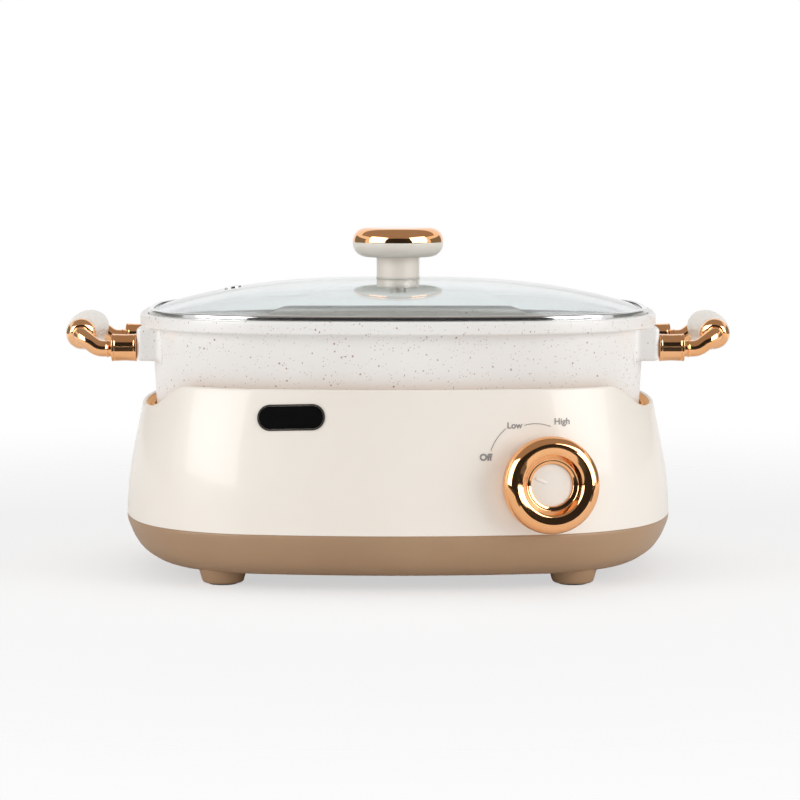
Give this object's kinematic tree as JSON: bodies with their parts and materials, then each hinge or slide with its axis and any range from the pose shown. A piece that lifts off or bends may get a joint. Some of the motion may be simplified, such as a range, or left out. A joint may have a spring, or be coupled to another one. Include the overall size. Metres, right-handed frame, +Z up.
{
  "type": "electric hot pot",
  "caption": "Countertop electric hot pot: rounded heated base with a dial, lift-out cooking pot with side handles and a lift-off domed glass lid.",
  "frame": {"origin": "on the table under the middle of the cooking pot", "axes": "+Z up, +X to the right along the handles, the control knob and indicator window face -Y"},
  "size_m": [0.412, 0.2834, 0.2115],
  "materials": {
    "tan_plastic": "satin moulded tan",
    "cream_plastic": "smooth cream, soft gloss",
    "well_liner": "coated tan steel",
    "dark_rubber": "matt",
    "steel": "plain zinc",
    "bright_tray": "polished",
    "element_metal": "heat-darkened",
    "probe_aluminium": "turned",
    "dark_frame": "dark grey",
    "window_black": "glossy black",
    "circuit_board": "lacquered",
    "black_plastic": "fine satin",
    "pin_brass": "bright",
    "rose_gold": "polished rose gold plating",
    "speckled_coating": "off-white coating with fine brown speckles",
    "clear_glass": "clear tempered",
    "lid_steel": "polished",
    "clear_gasket": "translucent silicone"
  },
  "bodies": {
    "base": {"lower_shell": "tan_plastic", "upper_housing": "cream_plastic", "inner_well": "well_liner", "front_left_foot": "tan_plastic", "front_right_foot": "tan_plastic", "rear_left_foot": "tan_plastic", "rear_right_foot": "tan_plastic", "foot_pads": "dark_rubber", "case_screws": "steel", "heater_element": "element_metal", "reflector_tray": "bright_tray", "element_cradles": "steel", "probe_guide": "steel", "probe_spring": "steel", "indicator_frame": "dark_frame", "indicator_lens": "window_black", "indicator_board": "circuit_board", "regulator": "black_plastic", "regulator_nut": "pin_brass", "power_inlet": "black_plastic", "inlet_pins": "pin_brass", "inlet_screws": "steel"},
    "control_knob": {"knob_ring": "rose_gold", "knob_disc": "cream_plastic", "knob_carrier": "black_plastic", "knob_shaft": "pin_brass"},
    "probe": {"probe_puck": "probe_aluminium"},
    "pot": {"pot_shell": "speckled_coating", "front_left_ferrule": "rose_gold", "front_right_ferrule": "rose_gold", "rear_left_ferrule": "rose_gold", "rear_right_ferrule": "rose_gold", "front_left_arm": "rose_gold", "front_right_arm": "rose_gold", "rear_left_arm": "rose_gold", "rear_right_arm": "rose_gold", "left_grip": "cream_plastic", "right_grip": "cream_plastic", "left_tie_rod": "steel", "right_tie_rod": "steel", "handle_studs": "steel"},
    "lid": {"lid_glass": "clear_glass", "lid_rim": "lid_steel", "steam_vent": "lid_steel", "lid_knob_cap": "rose_gold", "lid_knob_body": "cream_plastic", "lid_knob_gasket": "clear_gasket", "lid_knob_washer": "steel", "lid_knob_screw": "steel"}
  },
  "joints": [
    {"name": "pot_lift", "type": "slide", "parent": "base", "child": "pot", "axis": [0, 0, 1], "range_m": [0, 0.12]},
    {"name": "lid_lift", "type": "slide", "parent": "pot", "child": "lid", "axis": [0, 0, 1], "range_m": [0, 0.1]},
    {"name": "temperature_knob_turn", "type": "hinge", "parent": "base", "child": "control_knob", "pos_m": [0.088, -0.12263, 0.0646], "axis": [-0.1852, 0.9785, -0.0904], "range_deg": [0, 77.4]},
    {"name": "probe_press", "type": "slide", "parent": "base", "child": "probe", "axis": [0, 0, 1], "range_m": [-0.003, 0], "stiffness_N_per_m": 300, "springref_m": 0.004, "deforming": ["probe_spring"]}
  ]
}
